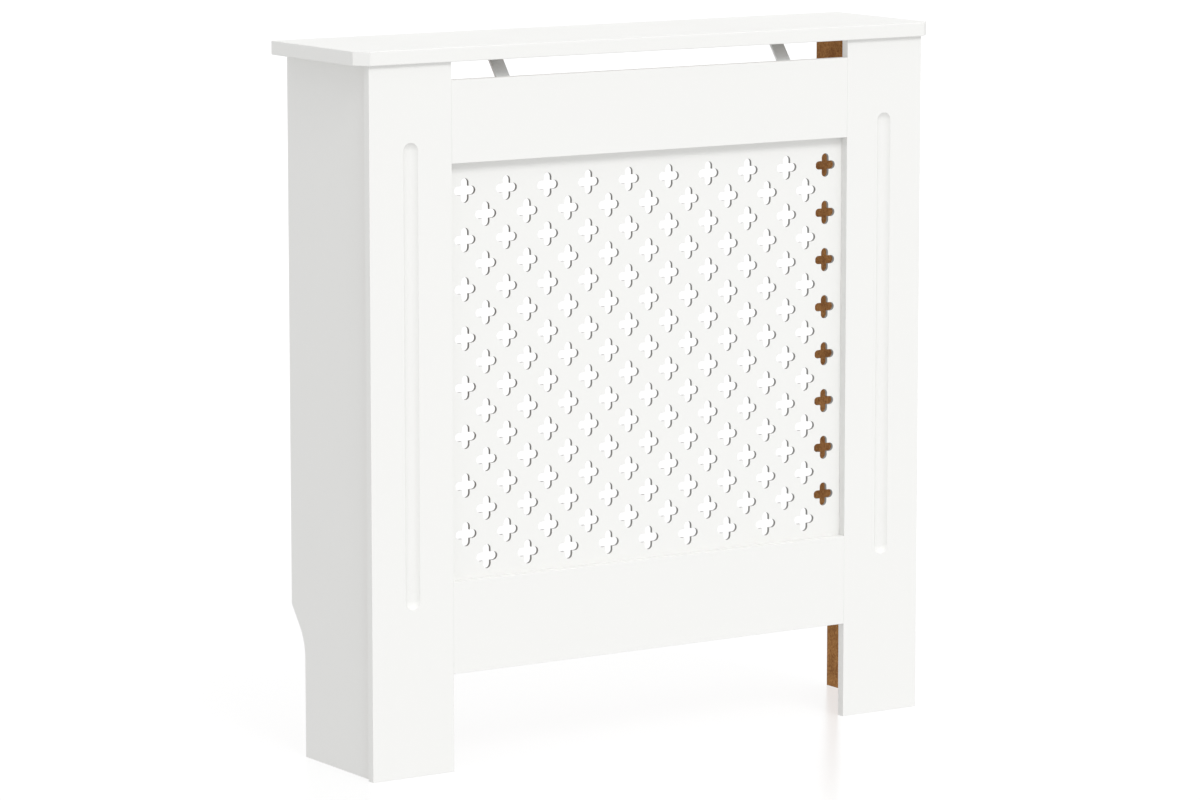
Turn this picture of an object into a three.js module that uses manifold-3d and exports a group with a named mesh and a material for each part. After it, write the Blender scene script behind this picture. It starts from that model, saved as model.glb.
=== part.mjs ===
// Radiator cover cabinet: a white MDF front with a quatrefoil grille, two side panels and a shelf,
// open at the back and underneath so that it stands over a wall radiator.
//
// Millimetres. +X is to the right as seen from the front, +Y goes back to the wall, +Z is up.
// The origin is on the floor, under the middle of the shelf.

import * as THREE from 'three';
import { mergeVertices } from 'three/addons/utils/BufferGeometryUtils.js';
import Module from 'manifold-3d';

const wasm = await Module();
wasm.setup();

// ---- Driving dimensions -------------------------------------------------------------------------

const HEIGHT = 815;
const SHELF = { width: 780, depth: 192, thickness: 16, cutCorner: 14, frontOverhang: 4.5, ease: 1 };
const BODY_WIDTH = 751;             // over the outer edges of the two posts
const BOARD = 10.5;                 // thickness of the posts, rails and side panels
const BOARD_EASE = 0.5;             // how far the long edges of those boards are eased
const SIDE_INSET = 5.25;            // the side panels stand this far in from the posts' outer edges

const POST_WIDTH = 106;
const FLUTE = { cutterRadius: 11.5, depth: 5, top: 712, bottom: 190 };

const TOP_RAIL = { name: 'top_rail', bottom: 686, top: 778.5 };
const BOTTOM_RAIL = { name: 'bottom_rail', bottom: 111.5, top: 216 };

// Cut at the side panels' lower rear corners: straight up, round an arc, then out along a slope.
const SKIRTING = { depth: 29.5, straight: 114.5, radius: 58, slope: THREE.MathUtils.degToRad(37.5) };

const GRILLE = {
  thickness: 4,
  lap: 20,                          // how far the sheet laps behind the posts and rails
  columns: 19,
  rows: 16,
  columnStep: 27.35,                // every row is staggered by one column step
  rowStep: 27.65,
  topRow: 654,
};
const HOLE = { armWidth: 9.8, reach: 13.7, lobeWidening: 1.04, lobeStep: THREE.MathUtils.degToRad(57) };

const STAY = {
  width: 18,
  thickness: 2,
  outerX: 200.5,
  foot: 28,
  bendRadius: 4,
  top: { y: -57.5, z: 799 },        // where the leaning leg meets the shelf
  bottom: { y: -81, z: 769 },       // where it meets the back of the top rail
};

// Fittings of the usual sizes, as diameters and lengths.
const DOWEL = { diameter: 6, length: 30 };
const CAM_NUT = { diameter: 12, height: 8.5, fromEdge: 24, slotWidth: 1.4, slotLength: 8.4, slotDepth: 1.5 };
const CAM_BOLT = { head: 5.2, headLength: 3, shank: 3.6, thread: 5, threadLength: 7.5 };
const PAN_SCREW = { head: 7, headHeight: 2.2, shank: 3, length: 9 };
const CLEARANCE = 0.3;              // between a fitting and the hole it sits in
const DRILL_SIDES = 6;              // facets of the drilled holes, dowels, screws and bolts
const NUT_SIDES = 8;                // facets of the cam nuts and of their pockets
const FLUTE_SIDES = 18;             // facets all round the cutter that makes a flute
const FLUTE_END_STEPS = 4;          // rings in each of its two ball ends

// ---- Levels and planes worked out from them -----------------------------------------------------

const SHELF_UNDERSIDE = HEIGHT - SHELF.thickness;
const SHELF_FRONT = -SHELF.depth / 2;
const REAR = SHELF.depth / 2;
const FRONT_FACE = SHELF_FRONT + SHELF.frontOverhang;
const FRONT_BACK = FRONT_FACE + BOARD;
const FRONT_MIDDLE = FRONT_FACE + BOARD / 2;
const POST_OUTER = BODY_WIDTH / 2;
const POST_INNER = POST_OUTER - POST_WIDTH;
const POST_CENTRE = POST_OUTER - POST_WIDTH / 2;
const SIDE_INNER = POST_OUTER - SIDE_INSET - BOARD;
const SIDE_MIDDLE = SIDE_INNER + BOARD / 2;
const GRILLE_BACK = FRONT_BACK + GRILLE.thickness;

const LEFT = -1;
const RIGHT = 1;
const SIDES = [LEFT, RIGHT];
const sideName = (side) => (side === LEFT ? 'left' : 'right');

const ACROSS = new THREE.Vector3(1, 0, 0);
const FORWARD = new THREE.Vector3(0, -1, 0);
const UP = new THREE.Vector3(0, 0, 1);

// ---- Materials ----------------------------------------------------------------------------------

const whitePaint = new THREE.MeshStandardMaterial({ color: '#f4f4f2', roughness: 0.45, metalness: 0 });
const beech = new THREE.MeshStandardMaterial({ color: '#cda876', roughness: 0.7, metalness: 0 });
const zincAlloy = new THREE.MeshStandardMaterial({ color: '#b4b5b3', roughness: 0.4, metalness: 0.9 });
const zincPlatedSteel = new THREE.MeshStandardMaterial({ color: '#a9a9a7', roughness: 0.45, metalness: 0.9 });

// ---- Solids and meshes --------------------------------------------------------------------------

// A closed geometry as a solid that can be cut and joined.
function solidOf(geometry) {
  const bare = geometry.clone();
  bare.deleteAttribute('normal');
  bare.deleteAttribute('uv');
  const welded = mergeVertices(bare, 1e-4);
  return new wasm.Manifold(new wasm.Mesh({
    numProp: 3,
    vertProperties: new Float32Array(welded.attributes.position.array),
    triVerts: new Uint32Array(welded.index.array),
  }));
}

function cutAll(body, cutters) {
  return cutters.reduce((rest, cutter) => rest.subtract(cutter), body);
}

// A solid as a flat-shaded geometry.
function geometryOf(solid) {
  const { vertProperties, triVerts } = solid.getMesh();
  const indexed = new THREE.BufferGeometry();
  indexed.setAttribute('position', new THREE.BufferAttribute(new Float32Array(vertProperties), 3));
  indexed.setIndex(new THREE.BufferAttribute(new Uint32Array(triVerts), 1));
  const geometry = indexed.toNonIndexed();
  geometry.computeVertexNormals();
  return geometry;
}

// A solid worked out in place, as a named mesh whose own origin is at the given point.
function meshInPlace(name, solid, material, origin) {
  const mesh = new THREE.Mesh(geometryOf(solid).translate(-origin.x, -origin.y, -origin.z), material);
  mesh.name = name;
  mesh.position.copy(origin);
  return mesh;
}

// A fitting made along +Z, as a named mesh that runs along an axis from a point.
function fittingMesh(name, solid, material, point, axis) {
  const mesh = new THREE.Mesh(geometryOf(solid), material);
  mesh.name = name;
  mesh.position.copy(point);
  mesh.quaternion.setFromUnitVectors(UP, axis);
  return mesh;
}

// A rod that runs along an axis from a point: a drill, a dowel or a plain barrel.
function rod(diameter, length, point, axis, sides = DRILL_SIDES) {
  const cylinder = new THREE.CylinderGeometry(diameter / 2, diameter / 2, length, sides);
  cylinder.rotateX(Math.PI / 2).translate(0, 0, length / 2);
  const turn = new THREE.Quaternion().setFromUnitVectors(UP, axis);
  const pose = new THREE.Matrix4().compose(point, turn, new THREE.Vector3(1, 1, 1));
  return solidOf(cylinder.applyMatrix4(pose));
}

// A round fitting turned from a profile of [radius, height] pairs, lowest first.
function turned(profile, sides) {
  const points = profile.map(([radius, height]) => new THREE.Vector2(radius, height));
  return solidOf(new THREE.LatheGeometry(points, sides).rotateX(Math.PI / 2));
}

// ---- Boards drawn flat and then set in place ----------------------------------------------------

function rectangle(left, bottom, right, top) {
  const corners = [[left, bottom], [right, bottom], [right, top], [left, top]];
  return new THREE.Shape(corners.map(([x, y]) => new THREE.Vector2(x, y)));
}

// An outline extruded to a board's thickness, with the long edges of both faces eased.
function easedBoard(outline, thickness, ease) {
  return new THREE.ExtrudeGeometry(outline, {
    depth: thickness - 2 * ease,
    bevelThickness: ease,
    bevelSize: ease,
    bevelOffset: -ease,
    bevelSegments: 1,
    curveSegments: 6,
  }).translate(0, 0, ease);
}

// The outline's axes become width and height; its thickness runs forward from the back face.
function standAcross(geometry, backFace) {
  return geometry.rotateX(Math.PI / 2).translate(0, backFace, 0);
}

// The outline's axes become depth and height; its thickness runs to the right from a plane.
function standAlong(geometry, leftFace) {
  return geometry.rotateX(Math.PI / 2).rotateZ(Math.PI / 2).translate(leftFace, 0, 0);
}

// ---- Where the fittings go ----------------------------------------------------------------------

const RAIL_DOWEL_INSET = 24;
const RAIL_DOWELS = SIDES.flatMap((side) => [TOP_RAIL, BOTTOM_RAIL].flatMap((rail) => [
  { rail, side, level: 'lower', z: rail.bottom + RAIL_DOWEL_INSET },
  { rail, side, level: 'upper', z: rail.top - RAIL_DOWEL_INSET },
])).map(({ rail, side, level, z }) => ({
  name: `${rail.name}_dowel_${sideName(side)}_${level}`,
  rail,
  side,
  start: new THREE.Vector3(side * POST_INNER - DOWEL.length / 2, FRONT_MIDDLE, z),
  axis: ACROSS,
}));

const SHELF_DOWEL = { y: -9, depthInPanel: 21 };
const SHELF_CAM_Y = { front: -48, rear: 30 };
const POST_CAM_Z = { lower: 150, upper: 640 };
const SHELF_DOWELS = SIDES.map((side) => ({
  name: `shelf_dowel_${sideName(side)}`,
  side,
  start: new THREE.Vector3(side * SIDE_MIDDLE, SHELF_DOWEL.y, SHELF_UNDERSIDE - SHELF_DOWEL.depthInPanel),
  axis: UP,
}));

// A cam joint is a bolt screwed into one board, whose head is held by a round nut let into the side
// panel. "face" is where the two boards meet, and "axis" points from the nut to the bolt's thread.
function camJoint(name, side, y, z, axis) {
  return { name: `${name}_${sideName(side)}`, side, face: new THREE.Vector3(side * SIDE_MIDDLE, y, z), axis };
}

const SHELF_CAMS = SIDES.flatMap((side) => [
  camJoint('shelf_front', side, SHELF_CAM_Y.front, SHELF_UNDERSIDE, UP),
  camJoint('shelf_rear', side, SHELF_CAM_Y.rear, SHELF_UNDERSIDE, UP),
]);
const POST_CAMS = SIDES.flatMap((side) => [
  camJoint('post_lower', side, FRONT_BACK, POST_CAM_Z.lower, FORWARD),
  camJoint('post_upper', side, FRONT_BACK, POST_CAM_Z.upper, FORWARD),
]);

const GRILLE_SCREW_INSET = 10;       // from the edge of the opening to a screw
const GRILLE_SCREW_DROP = 20;        // from the rails to the nearest screw in a post
const SCREW_X = POST_INNER + GRILLE_SCREW_INSET;
const SCREW_UPPER = TOP_RAIL.bottom - GRILLE_SCREW_DROP;
const SCREW_LOWER = BOTTOM_RAIL.top + GRILLE_SCREW_DROP;
const SCREW_MIDDLE = (SCREW_UPPER + SCREW_LOWER) / 2;
const GRILLE_SCREWS = [
  ['upper_left', -SCREW_X, SCREW_UPPER],
  ['middle_left', -SCREW_X, SCREW_MIDDLE],
  ['lower_left', -SCREW_X, SCREW_LOWER],
  ['upper_right', SCREW_X, SCREW_UPPER],
  ['middle_right', SCREW_X, SCREW_MIDDLE],
  ['lower_right', SCREW_X, SCREW_LOWER],
  ['top', 0, TOP_RAIL.bottom + GRILLE_SCREW_INSET],
  ['bottom', 0, BOTTOM_RAIL.top - GRILLE_SCREW_INSET],
].map(([place, x, z]) => ({
  name: `grille_screw_${place}`,
  seat: new THREE.Vector3(x, GRILLE_BACK, z),
  axis: FORWARD,
}));

// Each stay has one screw in each foot. "seat" is where the underside of a head bears on the strip.
const STAY_X = STAY.outerX - STAY.width / 2;
const STAY_SCREW_REACH = 17;
const STAY_SCREWS = SIDES.flatMap((side) => [
  {
    name: `stay_screw_${sideName(side)}_shelf`,
    seat: new THREE.Vector3(side * STAY_X, STAY.top.y + STAY_SCREW_REACH, STAY.top.z - STAY.thickness),
    axis: UP,
  },
  {
    name: `stay_screw_${sideName(side)}_rail`,
    seat: new THREE.Vector3(side * STAY_X, STAY.bottom.y + STAY.thickness, STAY.bottom.z - STAY_SCREW_REACH),
    axis: FORWARD,
  },
]);

const onSide = (side) => (fitting) => fitting.side === side;

// ---- Holes for the fittings ---------------------------------------------------------------------

function dowelHole({ start, axis }) {
  const from = start.clone().addScaledVector(axis, -CLEARANCE);
  return rod(DOWEL.diameter + 2 * CLEARANCE, DOWEL.length + 2 * CLEARANCE, from, axis);
}

function screwHole({ seat, axis }) {
  return rod(PAN_SCREW.shank + 2 * CLEARANCE, PAN_SCREW.length + CLEARANCE, seat, axis);
}

function boltHole({ face, axis }) {
  return rod(CAM_BOLT.thread + 2 * CLEARANCE, CAM_BOLT.threadLength + CLEARANCE, face, axis);
}

// Round pocket for the nut in the panel's inner face, and the bore that leads there from its edge.
function nutSeat({ side, face, axis }) {
  const overcut = 1;
  const centre = face.clone().addScaledVector(axis, -CAM_NUT.fromEdge);
  const mouth = centre.clone().setX(side * (SIDE_INNER - overcut));
  const outward = ACROSS.clone().multiplyScalar(side);
  const depth = overcut + CAM_NUT.height + CLEARANCE;
  const pocket = rod(CAM_NUT.diameter + 2 * CLEARANCE, depth, mouth, outward, NUT_SIDES);
  const bore = rod(CAM_BOLT.head + 2 * CLEARANCE, CAM_NUT.fromEdge + overcut, centre, axis);
  return pocket.add(bore);
}

// ---- Boards -------------------------------------------------------------------------------------

function shelf() {
  const half = SHELF.width / 2;
  const cut = SHELF.cutCorner;
  const outline = new THREE.Shape();
  outline.moveTo(half, REAR);
  outline.lineTo(-half, REAR);
  outline.lineTo(-half, SHELF_FRONT + cut);
  outline.lineTo(-half + cut, SHELF_FRONT);
  outline.lineTo(half - cut, SHELF_FRONT);
  outline.lineTo(half, SHELF_FRONT + cut);
  const board = easedBoard(outline, SHELF.thickness, SHELF.ease).translate(0, 0, SHELF_UNDERSIDE);
  const intoShelf = STAY_SCREWS.filter(({ axis }) => axis === UP);
  const cutters = [...SHELF_DOWELS.map(dowelHole), ...SHELF_CAMS.map(boltHole), ...intoShelf.map(screwHole)];
  const origin = new THREE.Vector3(0, 0, SHELF_UNDERSIDE);
  return meshInPlace('top_shelf', cutAll(solidOf(board), cutters), whitePaint, origin);
}

function sideOutline() {
  const { depth, straight, radius, slope } = SKIRTING;
  const cutBack = REAR - depth;
  const arcEndY = cutBack + radius * (1 - Math.cos(slope));
  const arcEndZ = straight + radius * Math.sin(slope);
  const outline = new THREE.Shape();
  outline.moveTo(FRONT_BACK, 0);
  outline.lineTo(cutBack, 0);
  outline.lineTo(cutBack, straight);
  outline.absarc(cutBack + radius, straight, radius, Math.PI, Math.PI - slope, true);
  outline.lineTo(REAR, arcEndZ + (REAR - arcEndY) / Math.tan(slope));
  outline.lineTo(REAR, SHELF_UNDERSIDE);
  outline.lineTo(FRONT_BACK, SHELF_UNDERSIDE);
  return outline;
}

function sidePanel(side) {
  const leftFace = side * SIDE_MIDDLE - BOARD / 2;
  const board = standAlong(easedBoard(sideOutline(), BOARD, BOARD_EASE), leftFace);
  const cams = [...SHELF_CAMS, ...POST_CAMS].filter(onSide(side));
  const cutters = [...cams.map(nutSeat), ...SHELF_DOWELS.filter(onSide(side)).map(dowelHole)];
  const origin = new THREE.Vector3(side * SIDE_MIDDLE, 0, 0);
  return meshInPlace(`side_panel_${sideName(side)}`, cutAll(solidOf(board), cutters), whitePaint, origin);
}

// The flute is the path of a round-nosed cutter: a rod with ball ends, mostly outside the post.
function fluteCutter(x) {
  const { cutterRadius, depth, top, bottom } = FLUTE;
  const axisOut = cutterRadius - depth;
  const halfWidth = Math.sqrt(cutterRadius ** 2 - axisOut ** 2);
  const halfStraight = (top - bottom) / 2 - halfWidth;
  const profile = new THREE.Path();
  profile.absarc(0, -halfStraight, cutterRadius, -Math.PI / 2, 0, false);
  profile.absarc(0, halfStraight, cutterRadius, 0, Math.PI / 2, false);
  const turnedProfile = profile.getPoints(FLUTE_END_STEPS);
  const ballEnded = new THREE.LatheGeometry(turnedProfile, FLUTE_SIDES).rotateX(Math.PI / 2);
  return solidOf(ballEnded.translate(x, FRONT_FACE - axisOut, (top + bottom) / 2));
}

function post(side) {
  const x = side * POST_CENTRE;
  const outline = rectangle(x - POST_WIDTH / 2, 0, x + POST_WIDTH / 2, SHELF_UNDERSIDE);
  const board = standAcross(easedBoard(outline, BOARD, BOARD_EASE), FRONT_BACK);
  const intoPost = GRILLE_SCREWS.filter(({ seat }) => Math.sign(seat.x) === side);
  const cutters = [
    fluteCutter(x),
    ...RAIL_DOWELS.filter(onSide(side)).map(dowelHole),
    ...POST_CAMS.filter(onSide(side)).map(boltHole),
    ...intoPost.map(screwHole),
  ];
  const origin = new THREE.Vector3(x, FRONT_FACE, 0);
  return meshInPlace(`post_${sideName(side)}`, cutAll(solidOf(board), cutters), whitePaint, origin);
}

function railBoard(rail) {
  const outline = rectangle(-POST_INNER, rail.bottom, POST_INNER, rail.top);
  const board = standAcross(easedBoard(outline, BOARD, BOARD_EASE), FRONT_BACK);
  const inRail = ({ seat, axis }) => axis === FORWARD && Math.abs(seat.x) < POST_INNER
    && seat.z > rail.bottom && seat.z < rail.top;
  const dowels = RAIL_DOWELS.filter((fitting) => fitting.rail === rail);
  const screws = [...GRILLE_SCREWS, ...STAY_SCREWS].filter(inRail);
  const cutters = [...dowels.map(dowelHole), ...screws.map(screwHole)];
  const origin = new THREE.Vector3(0, FRONT_FACE, rail.bottom);
  return meshInPlace(rail.name, cutAll(solidOf(board), cutters), whitePaint, origin);
}

// ---- Grille -------------------------------------------------------------------------------------

// One four-lobed hole: a cross whose arms have round ends. Each end is an arc of three points, set
// a little outside the true arc so that the flats between them average it.
function quatrefoil(centre) {
  const halfArm = HOLE.armWidth / 2;
  const arcCentre = HOLE.reach - halfArm;
  const arcRadius = halfArm * HOLE.lobeWidening;
  const origin = new THREE.Vector2();
  const points = [];
  for (let arm = 0; arm < 4; arm += 1) {
    const heading = (arm * Math.PI) / 2;
    const innerCorner = new THREE.Vector2(halfArm, -halfArm);
    const end = [-1, 0, 1].map((step) => new THREE.Vector2(
      arcCentre + arcRadius * Math.cos(step * HOLE.lobeStep),
      arcRadius * Math.sin(step * HOLE.lobeStep),
    ));
    points.push(...[innerCorner, ...end].map((point) => point.rotateAround(origin, heading).add(centre)));
  }
  return new THREE.Path(points);
}

// Staggered rows: every second row starts one column step further in and has one hole fewer.
function grilleOutline() {
  const { lap, columns, rows, columnStep, rowStep, topRow } = GRILLE;
  const halfWidth = POST_INNER + lap;
  const outline = rectangle(-halfWidth, BOTTOM_RAIL.top - lap, halfWidth, TOP_RAIL.bottom + lap);
  for (let row = 0; row < rows; row += 1) {
    for (let column = row % 2; column < columns; column += 2) {
      const x = (column - (columns - 1) / 2) * columnStep;
      outline.holes.push(quatrefoil(new THREE.Vector2(x, topRow - row * rowStep)));
    }
  }
  return outline;
}

function grillePanel() {
  const sheet = new THREE.ExtrudeGeometry(grilleOutline(), { depth: GRILLE.thickness, bevelEnabled: false });
  const solid = cutAll(solidOf(standAcross(sheet, GRILLE_BACK)), GRILLE_SCREWS.map(screwHole));
  return meshInPlace('grille_panel', solid, whitePaint, new THREE.Vector3(0, FRONT_BACK, BOTTOM_RAIL.top));
}

// ---- Steel stays --------------------------------------------------------------------------------

// The strip's outer face seen from the side, as depth by height: along under the shelf, round a
// bend, down the leaning leg, round a second bend and down the back of the top rail.
function stayPath() {
  const { foot, bendRadius, top, bottom } = STAY;
  const upperEnd = new THREE.Vector2(top.y + foot, top.z);
  const upperBend = new THREE.Vector2(top.y, top.z);
  const lowerBend = new THREE.Vector2(bottom.y, bottom.z);
  const lowerEnd = new THREE.Vector2(bottom.y, bottom.z - foot);
  const toward = (from, to) => from.clone().addScaledVector(to.clone().sub(from).normalize(), bendRadius);
  const path = new THREE.Path();
  path.moveTo(upperEnd.x, upperEnd.y);
  const bends = [[upperEnd, upperBend, lowerBend], [upperBend, lowerBend, lowerEnd]];
  for (const [before, bend, after] of bends) {
    const start = toward(bend, before);
    const end = toward(bend, after);
    path.lineTo(start.x, start.y);
    path.quadraticCurveTo(bend.x, bend.y, end.x, end.y);
  }
  path.lineTo(lowerEnd.x, lowerEnd.y);
  return path.getPoints(2);
}

// Sets the path's points off to its left by a distance, mitred at each turn.
function offsetPath(points, distance) {
  const steps = points.slice(1).map((point, i) => point.clone().sub(points[i]).normalize());
  return points.map((point, i) => {
    const before = steps[Math.max(i - 1, 0)];
    const after = steps[Math.min(i, steps.length - 1)];
    const middle = before.clone().add(after).normalize();
    const reach = distance / middle.dot(before);
    return new THREE.Vector2(point.x - middle.y * reach, point.y + middle.x * reach);
  });
}

function stay(side) {
  const outer = stayPath();
  const outline = new THREE.Shape([...outer, ...offsetPath(outer, STAY.thickness).reverse()]);
  const strip = new THREE.ExtrudeGeometry(outline, { depth: STAY.width, bevelEnabled: false });
  const solid = solidOf(standAlong(strip, side * STAY_X - STAY.width / 2));
  const ownScrews = STAY_SCREWS.filter(({ seat }) => Math.sign(seat.x) === side);
  const drilled = cutAll(solid, ownScrews.map(screwHole));
  const origin = new THREE.Vector3(side * STAY_X, STAY.bottom.y, STAY.bottom.z);
  return meshInPlace(`stay_${sideName(side)}`, drilled, zincPlatedSteel, origin);
}

// ---- Small fittings -----------------------------------------------------------------------------

function dowel({ name, start, axis }) {
  const pin = rod(DOWEL.diameter, DOWEL.length, new THREE.Vector3(), UP);
  return fittingMesh(name, pin, beech, start, axis);
}

// The underside of the head is at zero and the shank runs along +Z.
function panScrew({ name, seat, axis }) {
  const { head, headHeight, shank, length } = PAN_SCREW;
  const shape = turned([
    [0, -headHeight],
    [head / 2, -headHeight / 3],
    [head / 2, 0],
    [shank / 2, 0],
    [0, length],
  ], DRILL_SIDES);
  return fittingMesh(name, shape, zincPlatedSteel, seat, axis);
}

// From the centre of the nut outwards: head, shank, and the thread that starts at the board's face.
function camBolt({ name, face, axis }) {
  const { head, headLength, shank, thread, threadLength } = CAM_BOLT;
  const reach = CAM_NUT.fromEdge;
  const shape = turned([
    [0, 0],
    [head / 2, 0],
    [head / 2, headLength],
    [shank / 2, headLength],
    [shank / 2, reach],
    [thread / 2, reach],
    [thread / 2, reach + threadLength],
    [0, reach + threadLength],
  ], DRILL_SIDES);
  const headEnd = face.clone().addScaledVector(axis, -reach);
  return fittingMesh(`${name}_bolt`, shape, zincPlatedSteel, headEnd, axis);
}

// A round barrel, flush with the panel's inner face, with a screwdriver slot in that face and a
// mouth in its side that takes the bolt's head.
function camNut({ name, side, face, axis }) {
  const { diameter, height, fromEdge, slotWidth, slotLength, slotDepth } = CAM_NUT;
  const centre = face.clone().addScaledVector(axis, -fromEdge);
  const faceCentre = centre.clone().setX(side * SIDE_INNER);
  const barrel = rod(diameter, height, faceCentre, ACROSS.clone().multiplyScalar(side), NUT_SIDES);
  const headSpace = CAM_BOLT.head + 2 * CLEARANCE;
  const mouthStart = centre.clone().addScaledVector(axis, -CLEARANCE);
  const mouth = rod(headSpace, diameter / 2 + 2 * CLEARANCE, mouthStart, axis);
  const slotBox = new THREE.BoxGeometry(2 * slotDepth, slotWidth, slotLength);
  const slot = solidOf(slotBox.translate(faceCentre.x, faceCentre.y, faceCentre.z));
  return meshInPlace(`${name}_nut`, cutAll(barrel, [mouth, slot]), zincAlloy, faceCentre);
}

// ---- The cabinet --------------------------------------------------------------------------------

function groupOf(name, meshes) {
  const group = new THREE.Group();
  group.name = name;
  group.add(...meshes);
  return group;
}

const front = groupOf('front', [
  ...SIDES.map(post),
  railBoard(TOP_RAIL),
  railBoard(BOTTOM_RAIL),
  grillePanel(),
  ...RAIL_DOWELS.map(dowel),
  ...GRILLE_SCREWS.map(panScrew),
]);

const sides = groupOf('sides', [
  ...SIDES.map(sidePanel),
  ...POST_CAMS.flatMap((joint) => [camBolt(joint), camNut(joint)]),
]);

const top = groupOf('top', [
  shelf(),
  ...SHELF_DOWELS.map(dowel),
  ...SHELF_CAMS.flatMap((joint) => [camBolt(joint), camNut(joint)]),
  ...SIDES.map(stay),
  ...STAY_SCREWS.map(panScrew),
]);

export default groupOf('radiator_cover', [front, sides, top]);
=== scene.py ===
# %% [markdown]
# # A radiator cover, dressed in Blender
# The cover is a shelf on two side panels, with a framed front round a pierced grille. All of it is
# fibreboard, sprayed white on the outside and left bare and brown behind. The sizes come from a
# finished construction model, the frame, which is only loaded and never moved. This file makes what
# the eye sees around it: rounded edges, lacquer, bare board, plated steel, light and a camera.
#
# Everything is in metres, with +X to the right, +Y back to the wall and +Z up from the floor.

# %% Load the frame
import math

import bmesh
import bpy
from mathutils import Matrix, Vector
from mathutils.geometry import tessellate_polygon


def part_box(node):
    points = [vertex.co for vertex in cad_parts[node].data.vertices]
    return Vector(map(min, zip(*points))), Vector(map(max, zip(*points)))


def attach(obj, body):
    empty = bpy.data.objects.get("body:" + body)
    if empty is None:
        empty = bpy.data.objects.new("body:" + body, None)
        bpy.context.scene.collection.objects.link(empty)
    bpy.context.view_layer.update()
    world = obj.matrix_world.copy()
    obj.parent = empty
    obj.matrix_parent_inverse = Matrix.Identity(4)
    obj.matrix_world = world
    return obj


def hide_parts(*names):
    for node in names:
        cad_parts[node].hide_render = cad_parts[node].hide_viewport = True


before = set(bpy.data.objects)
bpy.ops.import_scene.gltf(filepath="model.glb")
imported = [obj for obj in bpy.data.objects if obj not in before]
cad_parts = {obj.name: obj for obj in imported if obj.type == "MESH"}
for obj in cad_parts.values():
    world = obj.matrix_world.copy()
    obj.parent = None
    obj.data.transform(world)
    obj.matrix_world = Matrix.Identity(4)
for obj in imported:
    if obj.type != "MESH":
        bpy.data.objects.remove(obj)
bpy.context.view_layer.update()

MM = 0.001


def in_mm(size):
    """A size in metres as rounded millimetres, for the printed lines."""
    return [round(side / MM, 1) for side in size]


# %% [markdown]
# ## Camera
# The picture to match was taken from the left and above with a long lens, so that the boards look
# nearly parallel. A camera in Blender looks along its own -Z. Tipping it forward from straight down
# by 90 degrees makes it level, a little less makes it look down, and the turn about Z aims it to
# the side. The lens shift stays at zero, so that the same camera also frames the other sides.

# %% Camera
CAMERA_PLACE = Vector((-3.268, -4.947, 1.283))
CAMERA_TURN = math.radians(33.34)       # to the right of straight ahead
CAMERA_DIP = math.radians(8.58)         # below level
CAMERA_LENS = 155.7                     # millimetres, on a sensor 36 mm wide
SENSOR_WIDTH = 36.0

camera_data = bpy.data.cameras.new("camera")
camera_data.lens = CAMERA_LENS
camera_data.sensor_width = SENSOR_WIDTH
camera_data.clip_end = 200.0
camera = bpy.data.objects.new("camera", camera_data)
camera.location = CAMERA_PLACE
camera.rotation_euler = (math.pi / 2 - CAMERA_DIP, 0.0, -CAMERA_TURN)
bpy.context.collection.objects.link(camera)
bpy.context.scene.camera = camera
print("camera:", CAMERA_LENS, "mm lens,", round(CAMERA_PLACE.length, 2), "m from the cover's foot")

# %% [markdown]
# ## Colours and nodes
# Paint charts and photographs give colours as sRGB hex values, but shaders add up light, which
# needs linear numbers. One function turns the first into the second. A second function adds one
# shader node with its settings and its links, so that each material below reads as a short recipe.

# %% Colour and node helpers
def linear(hex_colour):
    """The linear RGBA colour of an sRGB hex value."""
    light = []
    for start in (1, 3, 5):
        channel = int(hex_colour[start:start + 2], 16) / 255
        light.append(channel / 12.92 if channel <= 0.04045 else ((channel + 0.055) / 1.055) ** 2.4)
    return (*light, 1.0)


def add_node(tree, kind, values=None, links=None, **settings):
    """Adds a node, sets its properties and its sockets' values, and links sockets to outputs."""
    node = tree.nodes.new(kind)
    for name, value in settings.items():
        setattr(node, name, value)
    for socket, value in (values or {}).items():
        node.inputs[socket].default_value = value
    for socket, output in (links or {}).items():
        tree.links.new(output, node.inputs[socket])
    return node


def new_finish(name, **shader_values):
    """A material with its Principled shader set, as (material, node tree, shader, coordinates)."""
    material = bpy.data.materials.new(name)
    material.use_nodes = True
    tree = material.node_tree
    shader = tree.nodes["Principled BSDF"]
    for socket, value in shader_values.items():
        shader.inputs[socket.replace("_", " ")].default_value = value
    place = add_node(tree, "ShaderNodeTexCoord").outputs["Object"]
    return material, tree, shader, place


def per_metre(size_mm):
    """The texture scale that makes a pattern's features about so many millimetres wide."""
    return 1 / (size_mm * MM)


print("mid grey #808080 in linear light:", round(linear("#808080")[0], 3))

# %% [markdown]
# ## Sprayed lacquer
# The visible sides are coated with a satin white lacquer, sprayed on sanded board. Its white sends
# back nearly eight tenths of the light, so it stays just below the white of the studio. Up close
# such a coat isn't flat: it dries with a faint orange peel, ripples about two millimetres wide and
# a few hundredths deep, and its gloss drifts slowly with the thickness of the coat. That is what
# makes a large white face look painted and not like paper. A noise bump gives the ripples and a
# much wider noise moves the roughness. On the cut edges the loose inner fibres drink the lacquer,
# so there the coat is rougher and duller. The walls of the grille's narrow holes are coloured grey:
# a painted shade, so the thin dark arc in every hole comes from colour, not from the light.

# %% Lacquer
LACQUER_WHITE = "#e5e5e3"
# painted shade: this grey stands for the shade inside the grille's holes
HOLE_SHADE_GREY = "#8f8f8d"
LACQUER_IOR = 1.49                      # acrylic and nitrocellulose lacquers
COAT_DRIFT_MM = 90                      # how far apart a sprayed coat is thicker and thinner


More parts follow.
